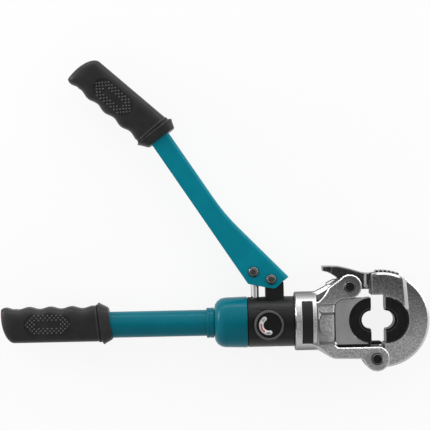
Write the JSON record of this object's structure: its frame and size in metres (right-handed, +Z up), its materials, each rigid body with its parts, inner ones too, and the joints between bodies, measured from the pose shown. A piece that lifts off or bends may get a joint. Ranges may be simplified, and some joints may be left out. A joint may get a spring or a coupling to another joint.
{
  "type": "hydraulic pipe crimper",
  "caption": "Hand-pumped hydraulic pipe crimper with a fixed and a moving handle, a swivelling forged head, a latched swing jaw and two half-round dies.",
  "frame": {"origin": "middle of the overall box at its lowest level, the tool lying on its back", "axes": "+X along the pump towards the jaw, +Y towards the moving lever, +Z up, out of the side with the release knob"},
  "size_m": [0.477, 0.3522, 0.0779],
  "materials": {
    "teal_paint": "gloss",
    "black_metal": "satin",
    "grip_rubber": "matte",
    "chrome": "satin",
    "steel": "brushed",
    "dark_steel": "dark",
    "knob_plastic": "matte",
    "seal_rubber": "matte",
    "bronze": "plain"
  },
  "bodies": {
    "pump_body": {"pump_block": "black_metal", "reservoir_cap": "teal_paint", "tube_collar": "teal_paint", "fixed_tube": "teal_paint", "tube_plug": "dark_steel", "oil_bladder": "seal_rubber", "fixed_grip": "grip_rubber", "ram_cylinder": "steel", "swivel_ring": "steel", "plunger_gland": "dark_steel", "plunger_seal": "seal_rubber", "suction_ball": "steel", "suction_spring": "steel", "delivery_ball": "steel", "delivery_spring": "steel", "relief_poppet": "steel", "relief_spring": "steel", "relief_screw": "dark_steel", "lever_pivot_bolt": "dark_steel", "lever_pivot_nut": "dark_steel", "lever_bush": "bronze"},
    "lever": {"lever_channel": "teal_paint", "moving_grip": "grip_rubber", "plunger_pin_bolt": "dark_steel", "plunger_pin_nut": "dark_steel"},
    "plunger": {"pump_plunger": "steel"},
    "release_valve": {"release_knob": "knob_plastic", "release_needle": "steel"},
    "head": {"head_frame": "chrome", "rod_bush": "bronze", "guide_key": "black_metal", "jaw_pin": "black_metal", "latch_pin": "black_metal", "jaw_pin_circlip_top": "black_metal", "jaw_pin_circlip_bottom": "black_metal", "latch_pin_circlip_top": "black_metal", "latch_pin_circlip_bottom": "black_metal", "latch_spring": "dark_steel", "return_spring": "steel"},
    "ram": {"ram_slide": "steel", "ram_piston": "steel", "piston_seal": "seal_rubber", "moving_die": "black_metal", "moving_die_detent": "steel"},
    "jaw": {"swing_jaw": "chrome", "fixed_die": "black_metal", "fixed_die_detent": "steel"},
    "latch": {"latch_lever": "dark_steel", "latch_cross_pin": "steel"}
  },
  "joints": [
    {"name": "lever_hinge", "type": "hinge", "parent": "pump_body", "child": "lever", "pos_m": [0.06396, -0.0721, 0.0329], "axis": [0, 0, 1], "range_deg": [-6, 42]},
    {"name": "plunger_slide", "type": "slide", "parent": "pump_body", "child": "plunger", "axis": [0, 1, 0], "range_m": [-0.0156, 0.0024]},
    {"name": "release_knob_turn", "type": "hinge", "parent": "pump_body", "child": "release_valve", "pos_m": [0.05956, -0.1212, 0.0629], "axis": [0, 0, 1], "range_deg": [0, 90]},
    {"name": "head_swivel", "type": "hinge", "parent": "pump_body", "child": "head", "pos_m": [0.09886, -0.1197, 0.0329], "axis": [1, 0, 0], "continuous": true},
    {"name": "ram_slide_travel", "type": "slide", "parent": "head", "child": "ram", "axis": [1, 0, 0], "range_m": [0, 0.0159], "stiffness_N_per_m": 1500, "springref_m": -0.005, "deforming": ["return_spring"]},
    {"name": "jaw_swing", "type": "hinge", "parent": "head", "child": "jaw", "pos_m": [0.17906, -0.1621, 0.0329], "axis": [0, 0, -1], "range_deg": [0, 90]},
    {"name": "latch_release", "type": "hinge", "parent": "head", "child": "latch", "pos_m": [0.15026, -0.0814, 0.0329], "axis": [0, 0, 1], "range_deg": [0, 20], "stiffness_Nm_per_rad": 0.3, "springref_deg": -17.19, "deforming": ["latch_spring"]}
  ],
  "couplings": [
    {"joint": "plunger_slide", "follows": "lever_hinge", "m_per_rad": -0.0209}
  ]
}
